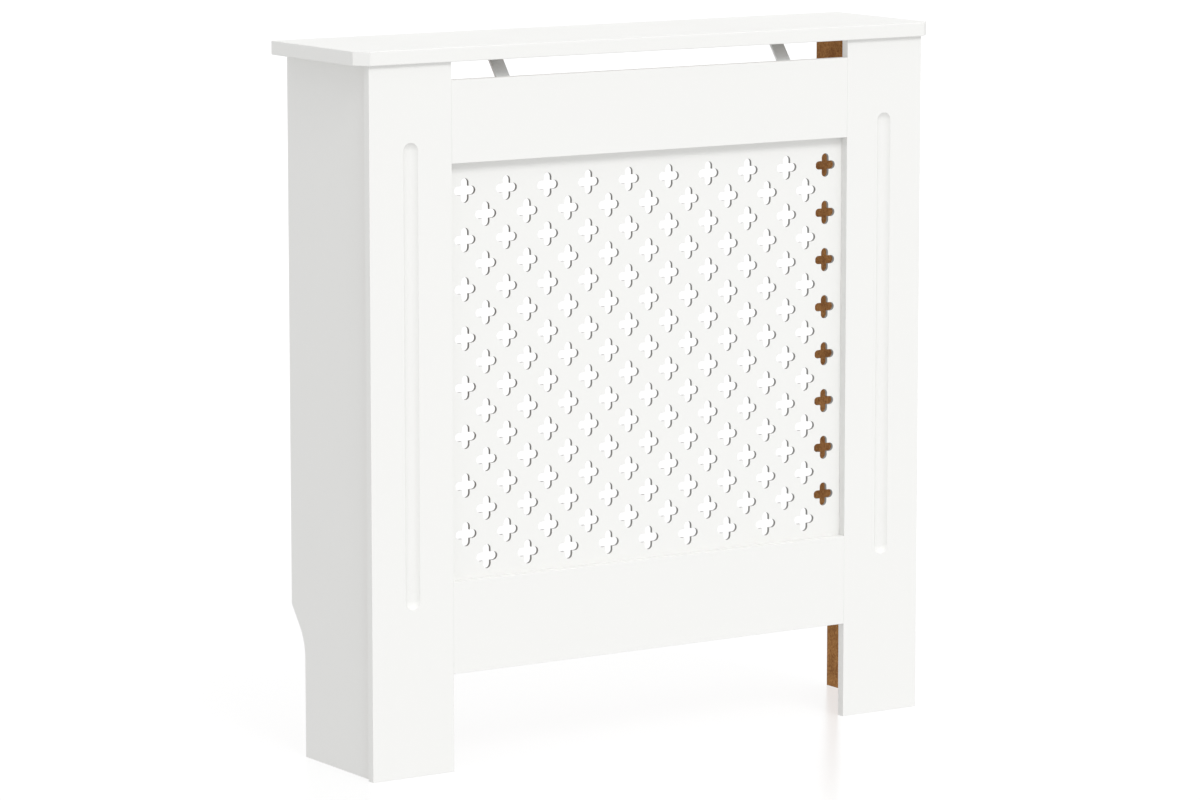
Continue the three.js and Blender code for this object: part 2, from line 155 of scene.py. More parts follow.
def sprayed_lacquer(name, satin, peel_mm, peel_depth_mm, colour=LACQUER_WHITE):
    """Satin lacquer: satin is its least and greatest roughness, peel the size of its ripples."""
    material, tree, shader, place = new_finish(
        name, Base_Color=linear(colour), IOR=LACQUER_IOR)
    coat_noise = add_node(
        tree, "ShaderNodeTexNoise",
        {"Scale": per_metre(COAT_DRIFT_MM), "Detail": 2.0}, {"Vector": place})
    roughness = add_node(
        tree, "ShaderNodeMapRange",
        {"From Min": 0.3, "From Max": 0.7, "To Min": satin[0], "To Max": satin[1]},
        {"Value": coat_noise.outputs["Fac"]})
    peel_noise = add_node(
        tree, "ShaderNodeTexNoise",
        {"Scale": per_metre(peel_mm), "Detail": 3.0, "Roughness": 0.55}, {"Vector": place})
    peel = add_node(
        tree, "ShaderNodeBump",
        {"Strength": 1.0, "Distance": peel_depth_mm * MM}, {"Height": peel_noise.outputs["Fac"]})
    tree.links.new(roughness.outputs["Result"], shader.inputs["Roughness"])
    tree.links.new(peel.outputs["Normal"], shader.inputs["Normal"])
    return material


lacquer = sprayed_lacquer(
    "satin_white_lacquer_sprayed", satin=(0.5, 0.62), peel_mm=2.2, peel_depth_mm=0.02)
lacquered_edge = sprayed_lacquer(
    "white_lacquer_on_cut_edge", satin=(0.58, 0.7), peel_mm=0.9, peel_depth_mm=0.03)
# the holes' walls: a grey that paints the shade inside them
hole_painted_shade = sprayed_lacquer(
    "grey_painted_shade_in_holes", satin=(0.6, 0.75), peel_mm=0.9, peel_depth_mm=0.03, colour=HOLE_SHADE_GREY)
print("made", lacquer.name, "and", lacquered_edge.name, "and", hole_painted_shade.name)

# %% [markdown]
# ## Bare fibreboard
# The sides that face the radiator aren't coated. Medium-density fibreboard is wood ground to fibre
# and pressed with glue: brown, matt, with no grain, but with clumps of darker and lighter fibre.
# The real flecks are under a millimetre long, too fine for a picture of the whole cover, so they
# are drawn at two to three millimetres, where they still read as pressed fibre. A slow mottling on
# top is the uneven density of the mat, and a fine bump is the nap that the sander leaves.

# %% Fibreboard
FLECK_MM = 2.6
MAT_CLOUD_MM = 28
NAP_DEPTH_MM = 0.06


def pressed_fibreboard():
    """Bare fibreboard: mottled brown with flecks of darker and lighter fibre."""
    material, tree, shader, place = new_finish(
        "bare_fibreboard_sanded", Roughness=0.88, Specular_IOR_Level=0.15)
    flecks = add_node(
        tree, "ShaderNodeTexNoise",
        {"Scale": per_metre(FLECK_MM), "Detail": 5.0, "Roughness": 0.7, "Distortion": 0.6},
        {"Vector": place})
    fibre = add_node(tree, "ShaderNodeValToRGB", links={"Fac": flecks.outputs["Fac"]})
    fibre.color_ramp.elements[0].position = 0.34
    fibre.color_ramp.elements[0].color = linear("#8b5b31")
    fibre.color_ramp.elements[1].position = 0.66
    fibre.color_ramp.elements[1].color = linear("#c8965c")
    mat_density = add_node(
        tree, "ShaderNodeTexNoise",
        {"Scale": per_metre(MAT_CLOUD_MM), "Detail": 3.0}, {"Vector": place})
    mottling = add_node(tree, "ShaderNodeValToRGB", links={"Fac": mat_density.outputs["Fac"]})
    mottling.color_ramp.elements[0].position = 0.3
    mottling.color_ramp.elements[0].color = linear("#d8d2cc")
    mottling.color_ramp.elements[1].position = 0.7
    mottling.color_ramp.elements[1].color = linear("#ffffff")
    colour = add_node(
        tree, "ShaderNodeMix", {0: 1.0},
        {6: fibre.outputs["Color"], 7: mottling.outputs["Color"]},
        data_type="RGBA", blend_type="MULTIPLY")
    nap = add_node(
        tree, "ShaderNodeBump",
        {"Strength": 1.0, "Distance": NAP_DEPTH_MM * MM}, {"Height": flecks.outputs["Fac"]})
    tree.links.new(colour.outputs[2], shader.inputs["Base Color"])
    tree.links.new(nap.outputs["Normal"], shader.inputs["Normal"])
    return material


fibreboard = pressed_fibreboard()
BOARD_FINISHES = (lacquer, fibreboard, lacquered_edge)
print("made", fibreboard.name)

# %% [markdown]
# ## Metals and beech
# The stays and screws are mild steel with a dull zinc plating, and the cam nuts are cast in zinc
# alloy. Zinc is a pale grey metal with a trace of blue. Plated in a barrel it comes out with a fine
# crystalline bloom, so its reflections are broad and slightly cloudy. The casting is coarser. The
# dowels are turned beech, pale pink brown with short darker flecks that run along the pin.

# %% Metals and beech
RAY_MM = 0.8                            # the width of a fleck in the beech
RAY_STRETCH = 0.12                      # the share of its length that its width is


def zinc(name, colour, satin, bloom_mm, bloom_depth_mm):
    """A zinc surface, plated or cast, with a cloudy bloom of the given size."""
    material, tree, shader, place = new_finish(name, Base_Color=linear(colour), Metallic=1.0)
    bloom = add_node(
        tree, "ShaderNodeTexNoise",
        {"Scale": per_metre(bloom_mm), "Detail": 4.0, "Roughness": 0.6}, {"Vector": place})
    roughness = add_node(
        tree, "ShaderNodeMapRange",
        {"From Min": 0.3, "From Max": 0.7, "To Min": satin[0], "To Max": satin[1]},
        {"Value": bloom.outputs["Fac"]})
    grain = add_node(
        tree, "ShaderNodeBump",
        {"Strength": 1.0, "Distance": bloom_depth_mm * MM}, {"Height": bloom.outputs["Fac"]})
    tree.links.new(roughness.outputs["Result"], shader.inputs["Roughness"])
    tree.links.new(grain.outputs["Normal"], shader.inputs["Normal"])
    return material


def turned_beech():
    """Bare beech, with its rays as short flecks along the pin."""
    material, tree, shader, place = new_finish("beech_turned", Roughness=0.7)
    along = add_node(
        tree, "ShaderNodeMapping", {"Scale": (1.0, 1.0, RAY_STRETCH)}, {"Vector": place})
    rays = add_node(
        tree, "ShaderNodeTexNoise",
        {"Scale": per_metre(RAY_MM), "Detail": 3.0}, {"Vector": along.outputs["Vector"]})
    wood = add_node(tree, "ShaderNodeValToRGB", links={"Fac": rays.outputs["Fac"]})
    wood.color_ramp.elements[0].position = 0.35
    wood.color_ramp.elements[0].color = linear("#b98a5c")
    wood.color_ramp.elements[1].position = 0.65
    wood.color_ramp.elements[1].color = linear("#dcb98c")
    tree.links.new(wood.outputs["Color"], shader.inputs["Base Color"])
    return material


zinc_plating = zinc(
    "bright_zinc_plated_steel", "#e2e4e4", satin=(0.5, 0.64), bloom_mm=1.6, bloom_depth_mm=0.004)
zinc_casting = zinc(
    "zinc_alloy_as_cast", "#b3b4b2", satin=(0.38, 0.55), bloom_mm=0.7, bloom_depth_mm=0.015)
beech = turned_beech()
print("made", zinc_plating.name, "and", zinc_casting.name, "and", beech.name)

# %% [markdown]
# ## Boards
# Every board is a flat outline with a thickness. Drawing its outline as a list of corners, filling
# it with triangles and joining two copies by walls keeps each size exact. Its long edges are eased
# at once: the outline is repeated in small steps, each drawn a little further in and nearer to the
# face, as sandpaper would round it. The face, its back and the edge each have their own finish.

# %% Boards
RIGHT, BACK, UP = Vector((1, 0, 0)), Vector((0, 1, 0)), Vector((0, 0, 1))
FACE, REVERSE, EDGE = range(3)          # places of a board's three finishes
EASING_STEPS = 3                        # flat steps in an edge's rounding


def solid(name, points, faces, finishes, finish_of_face=None):
    """A closed mesh as a new object, with its faces turned to point outwards."""
    mesh = bpy.data.meshes.new(name)
    mesh.from_pydata(points, [], faces)
    for finish in finishes:
        mesh.materials.append(finish)
    if finish_of_face:
        mesh.polygons.foreach_set("material_index", finish_of_face)
    shaping = bmesh.new()
    shaping.from_mesh(mesh)
    bmesh.ops.recalc_face_normals(shaping, faces=shaping.faces)
    shaping.to_mesh(mesh)
    shaping.free()
    piece = bpy.data.objects.new(name, mesh)
    bpy.context.collection.objects.link(piece)
    return piece


def set_in(loop, distance):
    """A closed loop drawn a little smaller: every side moves to its own left."""
    corners = [Vector(corner) for corner in loop]
    following = [*corners[1:], corners[0]]
    sides = [(after - corner).normalized() for corner, after in zip(corners, following)]
    moved = []
    for corner, before, after in zip(corners, [sides[-1], *sides], sides):
        left = Vector((-before.y - after.y, before.x + after.x)).normalized()
        moved.append(corner + left * (distance / left.dot(Vector((-after.y, after.x)))))
    return moved


def easing(width):
    """How far in and how deep each step of a rounded edge lies, from the face to the side."""
    turns = [math.pi / 2 * step / EASING_STEPS for step in range(EASING_STEPS + 1)]
    return [(width * (1 - math.sin(turn)), width * (1 - math.cos(turn))) for turn in turns]


def prism(name, outline, depth, plane, holes=(), ease=0.0, finishes=BOARD_FINISHES):
    """A flat anticlockwise outline with clockwise holes, made so deep behind its plane.

    The plane is its origin and the directions along the outline's first and second number and into
    the depth."""
    origin, across, up, through = plane
    levels = easing(ease) if ease else [(0.0, 0.0)]
    levels += [(inset, depth - level) for inset, level in reversed(levels)]
    points, rings = [], []
    for inset, level in levels:
        ring = []
        for loop in (outline, *holes):
            ring.append(range(len(points), len(points) + len(loop)))
            points += [origin + across * u + up * v + through * level
                       for u, v in set_in(loop, inset)]
        rings.append(ring)
    caps = tessellate_polygon([[Vector((*corner, 0)) for corner in set_in(loop, levels[0][0])]
                               for loop in (outline, *holes)])
    last = rings[-1][0].start
    faces = [*caps, *([last + i for i in reversed(cap)] for cap in caps)]
    kinds = [FACE] * len(caps) + [REVERSE] * len(caps)
    for step, (upper, lower) in enumerate(zip(rings, rings[1:])):
        kind = FACE if step < len(rings) // 2 - 1 else EDGE
        for top, bottom in zip(upper, lower):
            for i in range(len(top)):
                faces.append((top[i - 1], bottom[i - 1], bottom[i], top[i]))
                kinds.append(kind)
    return solid(name, points, faces, finishes, kinds if len(finishes) > 1 else None)


print("an edge is eased in", EASING_STEPS, "steps")

# %% [markdown]
# ## Round parts
# Screws, bolts, nuts and dowels are turned. A lathe does for them what the prism does for boards:
# a profile of rings is turned about the Z axis. A ripple may change the radius a little with the
# angle and the height, and so add a thread or ribs that a plain turned shape couldn't have.

# %% Lathe
def lathe(name, profile, sides, finish, ripple=lambda angle, height: 0.0):
    """(radius, height) pairs turned about Z, from axis to axis. ripple adds to the radius."""
    (_, bottom), *rings, (_, top) = profile
    points = [Vector((0, 0, bottom)), Vector((0, 0, top))]
    for radius, height in rings:
        for i in range(sides):
            angle = math.tau * i / sides
            reach = radius + ripple(angle, height)
            points.append(Vector((reach * math.cos(angle), reach * math.sin(angle), height)))
    faces = []
    for i in range(sides):
        j = (i + 1) % sides
        last = 2 + (len(rings) - 1) * sides
        faces += [(0, 2 + j, 2 + i), (1, last + i, last + j)]
        for first in range(2, last, sides):
            faces.append((first + i, first + j, first + sides + j, first + sides + i))
    return solid(name, points, faces, [finish])


print("ready to turn round parts")

# %% [markdown]
# ## Cutting and shading
# Modifiers do the rest: a boolean cuts one solid from another, a bevel breaks the edges that the
# cut leaves, and weighted normals keep broad faces flat beside their rounded edges. Corners that
# turn more than forty degrees are marked sharp, so that no shading runs across them.

# %% Cutting and shading
SHARP_FROM = math.radians(40)


def settle(piece):
    """Makes what the modifiers show into the piece's own mesh."""
    bpy.context.view_layer.update()
    shown = piece.evaluated_get(bpy.context.evaluated_depsgraph_get())
    piece.data = bpy.data.meshes.new_from_object(shown)
    piece.modifiers.clear()
    return piece


def cut_away(piece, cutters):
    """Cuts the other solids out of a piece, and deletes them."""
    for cutter in cutters:
        cut = piece.modifiers.new("cut", "BOOLEAN")
        cut.operation = "DIFFERENCE"
        cut.solver = "EXACT"
        cut.object = cutter
    settle(piece)
    for cutter in cutters:
        bpy.data.objects.remove(cutter)
    return piece


def smooth_shade(piece, edge_break=0.0):
    """Shades a piece smooth up to its corners, its flat faces flat. It can break edges first."""
    if edge_break:
        rounding = piece.modifiers.new("broken edges", "BEVEL")
        rounding.width = edge_break
        rounding.segments = EASING_STEPS
        rounding.limit_method = "ANGLE"
        rounding.angle_limit = SHARP_FROM
        rounding.use_clamp_overlap = False
        settle(piece)
    piece.data.polygons.foreach_set("use_smooth", [True] * len(piece.data.polygons))
    piece.data.set_sharp_from_angle(angle=SHARP_FROM)
    shading = piece.modifiers.new("flat faces", "WEIGHTED_NORMAL")
    shading.keep_sharp = True
    shading.mode = "FACE_AREA"
    shading.weight = 100                # its most, so that the larger face decides
    return piece


print("corners stay sharp from", round(math.degrees(SHARP_FROM)), "degrees")

# %% [markdown]
# ## Into the frame
# A finished piece takes the place of a plain solid of the frame, its node, which is hidden. From
# then on it belongs to the frame's root body.

# %% Into the frame
def turned_to(point, axis):
    """The matrix that takes a part made along +Z to a point, pointing along an axis."""
    return Matrix.Translation(point) @ UP.rotation_difference(axis).to_matrix().to_4x4()


def keep(piece, node):
    """The piece stands for a node of the frame, which is hidden, and moves with the frame's root
    body.
    """
    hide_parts(node)
    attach(piece, "root")
    return piece


print("the frame's nodes can now be replaced, one by one")

# %% [markdown]
# ## Where the fittings are
# The boards are held by hidden fittings: wooden dowels that keep them in line, and cam joints,
# each a bolt whose head is caught by a round nut in the side panel. Each one's place is read from
# its box in the frame, and its axis follows from the way its kind goes in. Their sizes are in
# millimetres, as in a catalogue.

# %% Fittings
DOWEL = {"radius": 3.0, "length": 30.0, "taper": 0.6, "taper_length": 1.0}
NUT = {"radius": 6.0, "height": 8.5, "front_chamfer": 0.4, "rear_chamfer": 0.2}
BOLT = {"head": 2.6, "radius": 2.5, "neck": 1.8, "reach": 24.0, "length": 31.5}
SCREW = {"head": 3.5, "head_height": 2.2, "radius": 1.5, "length": 9.0}


def middle(node):
    low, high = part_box(node)
    return (low + high) / 2


def start_of(node, axis):
    """The point where a node begins, on its own axis."""
    low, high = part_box(node)
    half = abs((high - low).dot(axis)) / 2
    return middle(node) - axis * half


def away_from_middle(node):
    """The side of the cover that a node is on, as a direction along X."""
    return RIGHT if middle(node).x > 0 else -RIGHT


def fitting_axis(node):
    """The direction in which a fitting goes in."""
    if node.endswith("_nut"):
        return away_from_middle(node)
    if "rail_dowel" in node:
        return RIGHT
    if node.startswith("shelf_") or node.endswith("_shelf"):
        return UP
    return -BACK


FITTINGS = {node: fitting_axis(node) for node in sorted(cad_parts)
            if node.endswith(("_nut", "_bolt")) or "dowel" in node or "screw" in node}


def seat(node):
    """Where a fitting's own origin lies. A screw's is under its head."""
    axis = FITTINGS[node]
    sunk = SCREW["head_height"] * MM if "screw" in node else 0.0
    return start_of(node, axis) + axis * sunk


print(len(FITTINGS), "fittings found in the frame")

# %% [markdown]
# ## Drilling
# A board is drilled for every fitting whose box reaches into its own, a little wider and deeper
# than the fitting is. The drill is a plain cylinder, put where the finished fitting will be put, so
# that no hole can miss its screw.

# %% Drilling
CLEARANCE = 0.3 * MM
HOLE_SIDES = 32


def drill_size(node):
    """The radius and the length of the hole that makes room for a fitting."""
    if "dowel" in node:
        radius, length = DOWEL["radius"], DOWEL["length"]
    elif node.endswith("_nut"):
        radius, length = NUT["radius"], NUT["height"]
    elif node.endswith("_bolt"):
        radius, length = BOLT["head"], BOLT["length"]
    else:
        radius, length = SCREW["radius"], SCREW["length"]
    return radius * MM + CLEARANCE, length * MM + CLEARANCE


def drilled(board, node):
    """Drills a board for every fitting whose own box reaches into the board's."""
    low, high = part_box(node)
    cutters = []
    for fitting, axis in FITTINGS.items():
        near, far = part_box(fitting)
        if all(near[i] < high[i] - CLEARANCE and far[i] > low[i] + CLEARANCE for i in range(3)):
            radius, end = drill_size(fitting)
            profile = [(0, -CLEARANCE), (radius, -CLEARANCE), (radius, end), (0, end)]
            cutter = lathe("drill", profile, HOLE_SIDES, BOARD_FINISHES[EDGE])
            cutter.matrix_world = turned_to(seat(fitting), axis)
            cutters.append(cutter)
    print(node, "is drilled for", len(cutters), "fittings")
    return cut_away(board, cutters) if cutters else board


print("a dowel's hole is", round(2 * drill_size("shelf_dowel_left")[0] / MM, 1), "mm wide")

# %% [markdown]
# ## Shelf
# The shelf is one thick board with its two front corners sawn off at 45 degrees. Its edges are
# sanded round by a millimetre, which is what draws the thin bright and dark lines round it. Its
# underside sticks out in front and at the sides, so it is lacquered as well.

# %% Shelf
SHELF_CORNER = 14 * MM
SHELF_EASE = 1.0 * MM


def shelf():
    low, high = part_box("top_shelf")
    outline = [(high.x, high.y), (low.x, high.y), (low.x, low.y + SHELF_CORNER),
               (low.x + SHELF_CORNER, low.y), (high.x - SHELF_CORNER, low.y),
               (high.x, low.y + SHELF_CORNER)]
    board = prism("shelf_lacquered", outline, high.z - low.z, (UP * high.z, RIGHT, BACK, -UP),
                  ease=SHELF_EASE, finishes=(lacquer, lacquer, lacquered_edge))
    return keep(smooth_shade(drilled(board, "top_shelf")), "top_shelf")


shelf_board = shelf()
print("shelf:", in_mm(shelf_board.dimensions), "mm")

# %% [markdown]
# ## Side panels
# Each side panel is notched at its lower rear corner, so that the cover can stand against the wall
# over a skirting board: straight up, round an arc and out along a slope. The arc is drawn with many
# short steps. The outer face is lacquered, the inner one bare, with the round pockets for the nuts.

# %% Side panels
BOARD_EASE = 0.4 * MM
NOTCH = {"depth": 29.5 * MM, "straight": 114.5 * MM, "radius": 58 * MM, "slope": math.radians(37.5)}
ARC_STEPS = 16


def side_outline(front, rear, top):
    """The outline of a side panel seen along X, with the notch at its lower rear corner."""
    foot = rear - NOTCH["depth"]
    arc = []
    for step in range(ARC_STEPS + 1):
        turn = NOTCH["slope"] * step / ARC_STEPS
        arc.append((foot + NOTCH["radius"] * (1 - math.cos(turn)),
                    NOTCH["straight"] + NOTCH["radius"] * math.sin(turn)))
    end_y, end_z = arc[-1]
    rise = (rear - end_y) / math.tan(NOTCH["slope"])
    return [(front, 0.0), (foot, 0.0), *arc, (rear, end_z + rise), (rear, top), (front, top)]


def side_panel(node):
    low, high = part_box(node)
    outward = away_from_middle(node)
    outer = RIGHT * (high.x if outward == RIGHT else low.x)
    outline = side_outline(low.y, high.y, high.z)
    board = prism(f"{node}_lacquered", outline, high.x - low.x, (outer, BACK, UP, -outward),
                  ease=BOARD_EASE)
    return keep(smooth_shade(drilled(board, node)), node)


side_boards = [side_panel(node) for node in ("side_panel_left", "side_panel_right")]
print("side panels:", in_mm(side_boards[0].dimensions), "mm")

# %% [markdown]
# ## Rails
# The two rails are plain boards between the posts. Their eased edges meet the posts' eased edges in
# a fine groove, the faint seam that shows the front is made of four pieces.

# %% Rails
def rectangle(low, high):
    return [(low.x, low.z), (high.x, low.z), (high.x, high.z), (low.x, high.z)]


def front_board(node):
    low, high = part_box(node)
    board = prism(f"{node}_lacquered", rectangle(low, high), high.y - low.y,
                  (BACK * low.y, RIGHT, UP, BACK), ease=BOARD_EASE)
    return drilled(board, node)


for rail in ("top_rail", "bottom_rail"):
    rail_board = keep(smooth_shade(front_board(rail)), rail)
    print(rail, in_mm(rail_board.dimensions), "mm")

# %% [markdown]
# ## Posts and their flutes
# Each post has a long shallow flute, cut by a router with a round-nosed bit that was lowered into
# the face, drawn along and lifted out. The swept bit is a long capsule that lies mostly outside the
# board, so a capsule is turned on the lathe and cut away. Its round ends leave the flute's curved
# ends, where the light makes a small dark crescent.

# %% Posts
FLUTE = {"radius": 11.5 * MM, "depth": 5 * MM, "top": 712 * MM, "bottom": 190 * MM}
FLUTE_BREAK = 0.25 * MM
FLUTE_SIDES = 128
FLUTE_END_STEPS = 24


def flute_cutter(x, face_y):
    """The capsule that a flute's bit sweeps out, in its place before a face."""
    radius = FLUTE["radius"]
    lift = radius - FLUTE["depth"]
    reach = math.sqrt(radius ** 2 - lift ** 2)
    centre = (FLUTE["top"] + FLUTE["bottom"]) / 2
    half = (FLUTE["top"] - FLUTE["bottom"]) / 2 - reach
    profile = []
    for end in (-1, 1):
        for step in range(FLUTE_END_STEPS + 1):
            share = step / FLUTE_END_STEPS if end == -1 else 1 - step / FLUTE_END_STEPS
            turn = share * math.pi / 2
            profile.append((radius * math.sin(turn), end * (half + radius * math.cos(turn))))
    cutter = lathe("flute cutter", profile, FLUTE_SIDES, lacquer)
    cutter.location = (x, face_y - lift, centre)
    return cutter


def post(node):
    low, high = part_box(node)
    board = cut_away(front_board(node), [flute_cutter((low.x + high.x) / 2, low.y)])
    return keep(smooth_shade(board, FLUTE_BREAK), node)


for node in ("post_left", "post_right"):
    print(node, in_mm(post(node).dimensions), "mm")

# %% [markdown]
# ## Grille
# The grille is a thin sheet with staggered rows of quatrefoils, a traditional four-lobed figure,
# stamped or routed right through. One lobe is a half circle at the end of a short arm, and the hole
# is that lobe turned four times. Drawing the holes as loops inside the sheet's outline, and not as
# 152 boolean cuts, is quick and leaves clean walls. Their rims are eased a little, as lacquer does.

# %% Grille
GRID = {"columns": 19, "rows": 16, "across": 27.35 * MM, "down": 27.65 * MM, "top": 654 * MM}
ARM_HALF_WIDTH = 4.9 * MM
ARM_REACH = 13.7 * MM
LOBE_STEPS = 10
RIM_EASE = 0.35 * MM


def quatrefoil(x, z):
    """One hole as a clockwise loop: for each arm an inner corner, then its half-round end."""
    loop = []
    for arm in range(4):
        heading = arm * math.pi / 2
        lobe = [(ARM_HALF_WIDTH, -ARM_HALF_WIDTH)]
        for step in range(LOBE_STEPS + 1):
            turn = math.pi * (step / LOBE_STEPS - 0.5)
            lobe.append((ARM_REACH - ARM_HALF_WIDTH + ARM_HALF_WIDTH * math.cos(turn),
                         ARM_HALF_WIDTH * math.sin(turn)))
        for u, v in lobe:
            loop.append((x + u * math.cos(heading) - v * math.sin(heading),
                         z + u * math.sin(heading) + v * math.cos(heading)))
    return loop[::-1]


def staggered_holes():
    """All the holes' loops, row by row from the top, every second row half a pitch to the side."""
    holes = []
    for row in range(GRID["rows"]):
        for column in range(row % 2, GRID["columns"], 2):
            x = (column - (GRID["columns"] - 1) / 2) * GRID["across"]
            holes.append(quatrefoil(x, GRID["top"] - row * GRID["down"]))
    return holes


def grille(holes):
    low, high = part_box("grille_panel")
    sheet = prism("grille_lacquered", rectangle(low, high), high.y - low.y,
                  (BACK * low.y, RIGHT, UP, BACK), holes, RIM_EASE,
                  # the walls of the holes take the grey painted shade
                  (lacquer, fibreboard, hole_painted_shade))
    return keep(smooth_shade(drilled(sheet, "grille_panel")), "grille_panel")


lattice = staggered_holes()
grille_sheet = grille(lattice)
print("grille:", in_mm(grille_sheet.dimensions), "mm with", len(lattice), "quatrefoils")

# %% [markdown]
# ## Steel stays
# Two bent strips brace the top rail against the shelf. A strip like this is sheared from sheet, so
# its thickness is even and it bends on a radius no smaller than its own thickness. Its side view is
# drawn as a line with two rounded turns, offset by the thickness and made as wide as the strip.

# %% Stays
STAY = {"thickness": 2 * MM, "foot": 28 * MM, "radius": 5 * MM, "ease": 0.25 * MM}
BEND_STEPS = 8


def rounded_line(corners, radius):
    """The points of a line with its inner corners rounded, as (position, direction) pairs."""
    points = [(corners[0], (corners[1] - corners[0]).normalized())]
    for before, corner, after in zip(corners, corners[1:], corners[2:]):
        coming, going = (corner - before).normalized(), (after - corner).normalized()
        turn = coming.angle_signed(going)
        start = corner - coming * abs(radius * math.tan(turn / 2))
        centre = start + Vector((coming.y, -coming.x)) * math.copysign(radius, turn)
        for step in range(BEND_STEPS + 1):
            swing = Matrix.Rotation(-turn * step / BEND_STEPS, 2)
            points.append((centre + swing @ (start - centre), swing @ coming))
    points.append((corners[-1], (corners[-1] - corners[-2]).normalized()))
    return points


def stay(node):
    """A strip with a foot under the shelf, a lean down to the rail and a foot behind it."""
    low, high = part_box(node)
    shelf_under, rail_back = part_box("top_shelf")[0].z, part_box("top_rail")[1].y
    lean_top = Vector((high.y - STAY["foot"], shelf_under))
    lean_bottom = Vector((rail_back, low.z + STAY["foot"]))
    corners = [Vector((high.y, shelf_under)), lean_top, lean_bottom, Vector((rail_back, low.z))]
    line = rounded_line(corners, STAY["radius"])
    outer = [tuple(point) for point, _ in line]
    inner = [tuple(point + Vector((-way.y, way.x)) * STAY["thickness"]) for point, way in line]
    strip = prism(f"{node}_plated", outer[::-1] + inner, high.x - low.x,
                  (RIGHT * low.x, BACK, UP, RIGHT), ease=STAY["ease"], finishes=[zinc_plating])
    return keep(smooth_shade(drilled(strip, node)), node)


for node in ("stay_left", "stay_right"):
    print(node, in_mm(stay(node).dimensions), "mm")

# %% [markdown]
# ## Screws, bolts, nuts and dowels
# The small fittings repeat, so each kind is made once and placed many times with the same mesh. The
# screw has a domed pan head with a cross recess, and its thread is a ripple that climbs as it goes
# round. The bolt is the same with a plain neck. The nut is a cast barrel with a cross and a pointer
# in its face. The dowel is ribbed, which lets air and glue escape from its hole.

# %% Threads and recesses
FITTING_SIDES = 32
RINGS_PER_THREAD = 8
THREAD_RUNOUT_MM = 0.1
BOLT_THREAD = {"from": 24.2, "to": 30.6, "pitch": 1.75, "depth": 0.5}
SCREW_THREAD = {"from": 0.6, "to": 7.6, "pitch": 1.2, "depth": 0.35}
SCREW_RECESS = {"width": 0.8, "length": 3.6, "depth": 1.3}
NUT_RECESS = {"width": 1.4, "length": 6.4, "depth": 2.0}


def in_metres(profile_mm):
    return [(radius * MM, height * MM) for radius, height in profile_mm]


def thread_rings(radius, thread):
    """A threaded length as rings for the lathe, close enough together to hold its ridge."""
    count = round((thread["to"] - thread["from"]) / thread["pitch"] * RINGS_PER_THREAD)
    return [(radius, thread["from"] + (thread["to"] - thread["from"]) * i / count)
            for i in range(count + 1)]


def thread_ridge(thread):
    """The thread's helical ridge, as a ripple for the lathe."""
    start, end = (thread["from"] + THREAD_RUNOUT_MM) * MM, thread["to"] * MM

    def ripple(angle, height):
        if not start <= height <= end:
            return 0.0
        phase = (height / (thread["pitch"] * MM) - angle / math.tau) % 1
        return thread["depth"] * MM * (2 * abs(phase - 0.5) - 1)
    return ripple


def cross_cutter(recess, top):
    """Two crossed bars that sink a driver's recess into the face at height top."""
    near, far, depth = recess["width"] * MM / 2, recess["length"] * MM / 2, recess["depth"] * MM
    outline = [(near, near), (near, far), (-near, far), (-near, near),
               (-far, near), (-far, -near), (-near, -near), (-near, -far),
               (near, -far), (near, -near), (far, -near), (far, near)]
    return prism("recess", outline, 2 * depth, (UP * (top - depth), RIGHT, BACK, UP),
                 finishes=[zinc_plating])


print("a screw's thread takes", len(thread_rings(SCREW["radius"], SCREW_THREAD)), "rings")

# %% [markdown]
# Each profile below runs along the fitting from the end that goes in last, as pairs of a radius
# and a height in millimetres. A screw's height zero is under its head, and the others' is where
# they begin.

# %% Turned fittings
FITTING_BREAK = 0.12 * MM
DOWEL_RIBS = 18
RIB_DEPTH = 0.18 * MM
POINTER = {"tip": 4.9 * MM, "base": 3.6 * MM, "half_width": 1.0 * MM, "depth": 0.4 * MM}


def pan_screw():
    head, radius = SCREW["head"], SCREW["radius"]
    dome = [(0.0, -SCREW["head_height"]), (1.2, -2.15), (2.3, -1.9), (3.1, -1.35), (head, -0.6),
            (head, -0.1), (head - 0.1, 0.0), (radius, 0.0)]
    tip = [(0.9, 8.3), (0.0, SCREW["length"])]
    screw = lathe("screw", in_metres(dome + thread_rings(radius, SCREW_THREAD) + tip),
                  FITTING_SIDES, zinc_plating, thread_ridge(SCREW_THREAD))
    return cut_away(screw, [cross_cutter(SCREW_RECESS, -SCREW["head_height"] * MM)])


def cam_bolt():
    head, neck, radius, end = BOLT["head"], BOLT["neck"], BOLT["radius"], BOLT["length"]
    shank = [(0.0, 0.0), (head - 0.5, 0.0), (head, 0.5), (head, 2.5), (head - 0.5, 3.0),
             (neck, 3.4), (neck, BOLT["reach"]), (radius, BOLT["reach"])]
    tip = [(radius - 0.5, end), (0.0, end)]
    return lathe("bolt", in_metres(shank + thread_rings(radius, BOLT_THREAD) + tip),
                 FITTING_SIDES, zinc_plating, thread_ridge(BOLT_THREAD))


def cam_nut():
    radius, height = NUT["radius"], NUT["height"]
    front, rear = NUT["front_chamfer"], NUT["rear_chamfer"]
    barrel = [(0.0, 0.0), (radius - front, 0.0), (radius, front), (radius, height - rear),
              (radius - rear, height), (0.0, height)]
    nut = lathe("nut", in_metres(barrel), 2 * FITTING_SIDES, zinc_casting)
    tip, base, half, depth = (POINTER[size] for size in ("tip", "base", "half_width", "depth"))
    pointer = prism("pointer", [(tip, 0.0), (base, half), (base, -half)], 2 * depth,
                    (UP * -depth, RIGHT, BACK, UP), finishes=[zinc_casting])
    return cut_away(nut, [cross_cutter(NUT_RECESS, 0.0), pointer])


